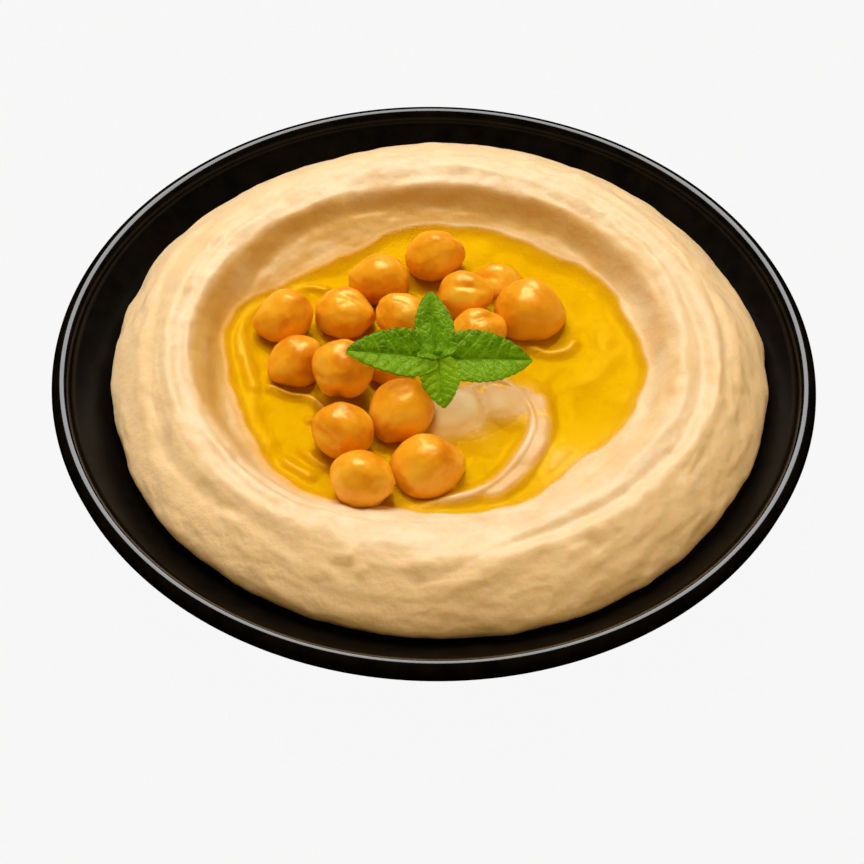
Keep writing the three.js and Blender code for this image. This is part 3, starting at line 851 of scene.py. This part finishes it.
oil = {
    "steps": 420,
    "sheetRadius": 46,  # of the spun disc, before its edge is fitted to the pool's
    "rows": (118, 24),  # rows of points on the upper and the lower side
    "reach": 2.4,  # how far it runs on beneath the hummus, beyond the edge
    "dip": 1.6,  # how deep it is tucked in there
    "under": 0.5,  # how far its lower side lies inside the hummus
    "ripples": [(0.05, 5, 21), (0.02, 2.2, 22)],
    "creep": 0.3,  # how high it climbs a chickpea
    "creepWidth": 0.6,
    "hug": 0.98,  # the waterline, a little inside the chickpea's own outline
    "ior": 1.47,
    "film": (0.99, 0.96, 0.78, 1),  # what even a thin film of it does to the light
    "tint": (0.955, 0.934, 0.012, 1),  # what is left of each colour where it is deep
    "density": 1280,
    "glint": "#D8A000",  # the little that its surface mirrors comes back golden
}


def waterlines():
    # Where each chickpea crosses the level of the oil: middle and radius of the circle.
    circles = []
    for x, y, z, radius, *way in chickpeas["places"]:
        depth = z - mound["oilLevel"]
        if abs(depth) < radius:
            circles.append((x, y, oil["hug"] * math.sqrt(radius ** 2 - depth ** 2)))
    return circles


def buildOil():
    upper, lower = oil["rows"]
    profile = [(share * oil["sheetRadius"], topMark) for share in np.linspace(0, 1, upper)]
    profile += [(share * oil["sheetRadius"], 0) for share in np.linspace(1, 0, lower)]
    piece = spinShape("oil_pool_surface", profile, oil["steps"], mound["middleX"])
    points = pointsOf(piece)
    x = points[:, 0] - mound["middleX"]
    angle = np.arctan2(points[:, 1], x)
    edge = poolEdge(angle)
    radius = np.hypot(x, points[:, 1]) / oil["sheetRadius"] * (edge + oil["reach"])
    isTop = points[:, 2] > topMark - 1
    points[:, 0] = mound["middleX"] + radius * np.cos(angle)
    points[:, 1] = radius * np.sin(angle)
    level = mound["oilLevel"] + layered(points * [1, 1, 0], oil["ripples"])
    for px, py, reach in waterlines():
        away = np.maximum(np.hypot(points[:, 0] - px, points[:, 1] - py) - reach, 0)
        level += oil["creep"] * np.exp(-away / oil["creepWidth"])
    level -= oil["dip"] * smooth(edge + 0.1, edge + oil["reach"], radius)
    bottom = np.minimum(hummusTop(radius, angle), level) - oil["under"]
    points[:, 2] = np.where(isTop, level, bottom)
    movePoints(piece, points)
    shadeSmooth(piece)
    return piece


def oliveOil():
    # Cold-pressed olive oil: pale in a thin film, golden where it is deep, with a golden shine.
    material, tree = newMaterial("clearOliveOil")
    clear = addNode(tree, "BsdfRefraction", values={"Color": oil["film"], "Roughness": 0, "IOR": oil["ior"]})
    shine = addNode(tree, "BsdfGlossy", values={"Color": linear(oil["glint"]), "Roughness": 0.04})
    mirror = addNode(tree, "Fresnel", values={"IOR": oil["ior"]})
    top = addNode(tree, "MixShader", links={0: mirror, 1: clear, 2: shine})
    # Light on its way to the paste below passes straight through.
    see = addNode(tree, "BsdfTransparent", values={"Color": oil["film"]})
    path = addNode(tree, "LightPath")
    light = addNode(tree, "Math", {"operation": "MAXIMUM"},
                    {0: path.outputs["Is Shadow Ray"], 1: path.outputs["Is Diffuse Ray"]})
    surface = addNode(tree, "MixShader", links={0: light, 1: top, 2: see})
    body = addNode(tree, "VolumeAbsorption", values={"Color": oil["tint"], "Density": oil["density"]})
    addNode(tree, "OutputMaterial", links={"Surface": surface, "Volume": body})
    return material


finishPiece(buildOil(), "oil_pool", oliveOil())
print("oil poured")


# Boiled chickpeas: copies of one ball, each creased and turned a little differently

def shapeChickpea(way, radius, index):
    # way holds unit vectors: two soft lobes with a crease between them, and a beak at +X.
    x, y, z = way.T
    beakHeight, beakWidth = chickpeas["beak"]
    creaseDepth, creaseWidth = chickpeas["crease"]
    seamDepth, seamWidth = chickpeas["seam"]
    beak = beakHeight * bell(np.arccos(np.clip(x, -1, 1)), beakWidth)
    crease = creaseDepth * bell(y, creaseWidth) * smooth(-0.3, 0.6, x) * smooth(0.2, 0.9, -z)
    seam = seamDepth * bell(z - 0.15 * y, seamWidth) * smooth(0.3, 0.9, x)
    ribs = chickpeas["ribs"] * np.cos(5 * np.arctan2(y, z)) * (1 - x ** 2)
    loose = sum(height * unevenness(way + index * shift, cell, seed)
                for height, cell, seed, shift in chickpeas["looseSkin"])
    size = radius * (chickpeas["swell"] + beak - crease - seam + ribs + loose)
    return way * size[:, None] * chickpeas["form"]


def turned(points, turn, dip, roll):
    # Rolled about X, then dipped about Y, then turned about Z.
    for degrees, axis in ((roll, "X"), (dip, "Y"), (turn, "Z")):
        points = points @ np.array(Matrix.Rotation(math.radians(degrees), 3, axis)).T
    return points


def boiledChickpea():
    # Chickpeas boiled until tender: a thin glossy skin over a soft flesh that lets light in.
    material, tree = newMaterial("boiledChickpeaSkin")
    place = addNode(tree, "TexCoord").outputs["Object"]
    shades = [(0.3, "skinDeep"), (0.5, "skin"), (0.75, "skinPale")]
    colour = blotched(tree, place, chickpeas, shades, 5, 0.6)
    normal = grained(tree, place, {"Scale": chickpeas["wrinkles"], "Detail": 4, "Roughness": 0.55},
                     {"Strength": 0.45, "Distance": 0.0002})
    skin = addNode(tree, "BsdfPrincipled",
                   values={"Roughness": 0.29, "IOR": 1.75, "Specular IOR Level": 1.0,
                           "Specular Tint": linear(chickpeas["sheen"]),
                           "Subsurface Weight": 0.5, "Subsurface Radius": (1, 0.4, 0.08),
                           "Subsurface Scale": 0.002},
                   links={"Base Color": colour, "Normal": normal})
    addNode(tree, "OutputMaterial", links={"Surface": skin})
    return material


def buildChickpeas():
    deselectAll()
    bpy.ops.mesh.primitive_ico_sphere_add(subdivisions=chickpeas["fineness"], radius=millimetre)
    master = bpy.context.object
    shadeSmooth(master)
    ways = pointsOf(master)
    ways /= np.linalg.norm(ways, axis=1)[:, None]
    material = boiledChickpea()
    for index, (x, y, z, radius, *way) in enumerate(chickpeas["places"]):
        pea = master.copy()
        pea.data = master.data.copy()
        pea.name = pea.data.name = f"boiled_chickpea_{index + 1:02d}"
        bpy.context.collection.objects.link(pea)
        movePoints(pea, turned(shapeChickpea(ways, radius, index), *way) + [x, y, z])
        finishPiece(pea, f"chickpea_{index + 1:02d}", material)
    bpy.data.objects.remove(master)


buildChickpeas()
print("chickpeas laid")


# Mint: four leaves and two tiny ones round a bud, on a short stem

mint = {
    "at": (0.6, -6.4, 33.4),
    "leaves": [  # length, width, turn, lift of the tip, roll, base, paleness at the stalk (at full on the fourth leaf, painted light for a leaf turned away from the lamp), and the half painted lighter, where it faces the lamp
        (17.8, 11, 184, 13, -10, -0.2, 0.05, 1),
        (18.9, 12.2, 9.8, -7, 11, -0.5, 0.1, -1),
        (14.9, 7.8, 97, 14, 0, 0.4, 0.1, 0),
        (10.4, 8.1, -82, -18, 0, 0.4, 1.0, 0),
        (4.6, 3.2, 205, 20, 0, 1, 0.1, 0),
        (4.6, 3.6, 15, 20, 0, 1, 0.1, 0),
    ],
    "largeFrom": 8,  # shorter leaves are still folded buds, with no teeth or quilting
    "fineness": {True: (64, 110), False: (20, 28)},
    "thickness": 0.45,
    "fold": 0.38,  # how steeply the halves rise from the midrib
    "arch": 0.16,  # and how they curve down again
    "wave": 0.18,
    "droop": 0.06,
    "veins": 6.5,
    "veinSlant": 0.55,
    "veinPaleness": 0.55,
    "teeth": 12,
    "toothDepth": 0.055,
    "quilting": 0.2,
    "pucker": (0.1, 0.9, 41),
    "midrib": (0.28, 0.35),  # depth and width of its groove
    "bud": (1.2, 1.15, 0.16),  # height above the leaves' stalks, stretch, and depth of its four folds
    "stem": [(0, 23.3), (0.9, 23.3), (0.855, 29.1), (0.765, 34.2), (0, 34.4)],  # radius and height
    "stemSteps": 24,
    "leaf": "#5A8706",
    "leafPale": "#7FAA20",
    "leafDark": "#3A6603",
    # painted light: a paler green for the half that faces the lamp and for the leaf turned away from it
    "leafLitPale": "#7FAA16",
    "sheen": "#C8E050",
    "letThrough": 0.9,  # share of the light from behind
    "lightThrough": (0.98, 0.93, 0.8, 1),
    "blotches": 420,  # 2 to 3 mm across
    "cells": 850,  # the blade is puckered between its side veins every 1.2 mm
    "cellBend": (600, 0.0007),  # how finely and how far, in metres, their walls wander
}


def shapeLeaf(u, v, length, width):
    # u runs along the midrib from the stalk, v across from edge to edge, both on the leaf's blade.
    large = length > mint["largeFrom"]
    across = np.abs(v)
    outline = np.maximum(np.sin(math.pi * (0.05 + 0.95 * u) ** 0.78), 0) ** 0.7
    notch = (1 - np.abs(np.sin(math.pi * mint["teeth"] * (u + 0.01 * v)))) * smooth(0.7, 1, across)
    half = np.maximum(width / 2 * outline * (1 - mint["toothDepth"] * notch * large), 0.12)
    height = mint["fold"] * across * half - mint["arch"] * half * v * v
    height += mint["wave"] * np.sin(u * 9 + v * 2) * across
    # Side veins leave the midrib at a slant and bend forward, and the blade swells between them.
    flow = u * length - mint["veinSlant"] * across * half - 0.05 * (v * half) ** 2
    cycle = flow / length * mint["veins"] + 0.25 * (v > 0) + 0.12 * np.sin(7 * u + 3 * v)
    between = np.abs(np.sin(math.pi * cycle))
    if large:
        ends = within(u, (0, 0.12), (0.88, 1)) * smooth(0, 0.25, across)
        ends *= 1 - 0.7 * smooth(0.85, 1, across)
        height += mint["quilting"] * between ** 0.8 * ends * (width / 11)
        cells = np.stack([u * length, v * half, np.zeros(u.shape)], axis=1)
        height += layered(cells + length, [mint["pucker"]]) * smooth(0.02, 0.2, across)
        depth, breadth = mint["midrib"]
        height -= depth * bell(v * half, breadth) * (1 - u) + mint["droop"] * length * u * u
    vein = (1 - np.clip(between * 2.6, 0, 1)) * smooth(0, 0.1, across)
    return u * length, v * half, height, np.maximum(vein, bell(v * half, 0.28))


def buildLeaf(length, width, turn, lift, roll, base, stalkPaleness, litHalf):
    deselectAll()
    across, along = mint["fineness"][length > mint["largeFrom"]]
    bpy.ops.mesh.primitive_grid_add(x_subdivisions=along, y_subdivisions=across, size=2 * millimetre)
    leaf = bpy.context.object
    points = pointsOf(leaf)
    u = (points[:, 0] + 1) / 2
    v = points[:, 1]
    *place, vein = shapeLeaf(u, v, length, width)
    flat = np.stack(place, axis=1)
    movePoints(leaf, turned(flat, turn, -lift, roll) + np.array(mint["at"]) + [0, 0, base])
    storeValues(leaf, "vein", vein * mint["veinPaleness"])
    # painted light: paler towards the stalk, and the half that faces the lamp is made paler
    storeValues(leaf, "litPaleness", stalkPaleness * (1 - 0.6 * smooth(0, 1, u)) + 0.4 * smooth(0, 0.3, v * litHalf))
    thick = leaf.modifiers.new("blade", "SOLIDIFY")
    thick.thickness = mint["thickness"] * millimetre
    thick.offset = 0
    bpy.ops.object.modifier_apply(modifier="blade")
    return leaf


def buildBud():
    above, stretch, foldDepth = mint["bud"]
    deselectAll()
    bpy.ops.mesh.primitive_ico_sphere_add(subdivisions=4, radius=millimetre)
    bud = bpy.context.object
    points = pointsOf(bud)
    folds = np.cos(4 * np.arctan2(points[:, 1], points[:, 0])) * (1 - np.abs(points[:, 2]))
    points *= (1 + foldDepth * folds)[:, None]
    movePoints(bud, points * [1, 1, stretch] + np.array(mint["at"]) + [0, 0, above])
    return bud


def buildStem():
    x, y, z = mint["at"]
    stem = spinShape("mint_stem", mint["stem"], mint["stemSteps"])
    movePoints(stem, pointsOf(stem) + [x, y, 0])
    return stem


def buildMint():
    parts = [buildLeaf(*leaf) for leaf in mint["leaves"]] + [buildBud(), buildStem()]
    deselectAll()
    for part in parts:
        part.select_set(True)
    bpy.context.view_layer.objects.active = parts[0]
    bpy.ops.object.join()
    sprig = bpy.context.object
    bpy.ops.object.transform_apply(location=True, rotation=True, scale=True)
    sprig.name = sprig.data.name = "mint_leaves"
    shadeSmooth(sprig)
    return sprig


def freshMint():
    # Fresh garden mint: waxy green blades, quilted between pale veins, light showing through.
    material, tree = newMaterial("freshMintLeaf")
    place = addNode(tree, "TexCoord").outputs["Object"]
    colour = blotched(tree, place, mint, [(0.35, "leafDark"), (0.6, "leaf")], 4)
    # veins are paler; the second shade is painted light on the lit halves and on the leaf turned from the
    # lamp
    colour = tintedBy(tree, colour, mint, [("vein", "leafPale"), ("litPaleness", "leafLitPale")])
    bendScale, bendSize = mint["cellBend"]
    bent = addNode(tree, "TexNoise", links={"Vector": place}, values={"Scale": bendScale, "Detail": 2})
    nudged = addNode(tree, "VectorMath", {"operation": "MULTIPLY_ADD"},
                     {0: bent.outputs["Color"], 2: place}, {1: (bendSize, bendSize, bendSize)})
    cells = addNode(tree, "TexVoronoi", {"feature": "DISTANCE_TO_EDGE"},
                    {"Vector": nudged}, {"Scale": mint["cells"]})
    plump = addNode(tree, "MapRange", {"interpolation_type": "SMOOTHSTEP"},
                    {"Value": cells}, {"From Max": 0.25})
    quilted = addNode(tree, "Mix", {"data_type": "RGBA"},
                      {0: plump, 7: colour}, {6: linear(mint["leafPale"])})
    netted = addNode(tree, "Mix", {"data_type": "RGBA"},
                     {6: colour, 7: quilted.outputs["Result"]}, {0: 0.2})
    bump = addNode(tree, "Bump", links={"Height": plump}, values={"Strength": 0.3, "Distance": 0.0003})
    blade = addNode(tree, "BsdfPrincipled",
                    values={"Roughness": 0.3, "IOR": 1.45, "Specular Tint": linear(mint["sheen"]),
                            "Subsurface Weight": 0.25, "Subsurface Radius": (0.3, 1, 0.1),
                            "Subsurface Scale": 0.001},
                    links={"Base Color": netted.outputs["Result"], "Normal": bump})
    # Some of the light passes through the thin blades, so their shadows are soft.
    path = addNode(tree, "LightPath")
    share = addNode(tree, "Math", {"operation": "MULTIPLY"}, {0: path.outputs["Is Shadow Ray"]},
                    {1: mint["letThrough"]})
    through = addNode(tree, "BsdfTransparent", values={"Color": mint["lightThrough"]})
    surface = addNode(tree, "MixShader", links={0: share, 1: blade, 2: through})
    addNode(tree, "OutputMaterial", links={"Surface": surface})
    return material


finishPiece(buildMint(), "mint_sprig", freshMint())
print("mint set on top")
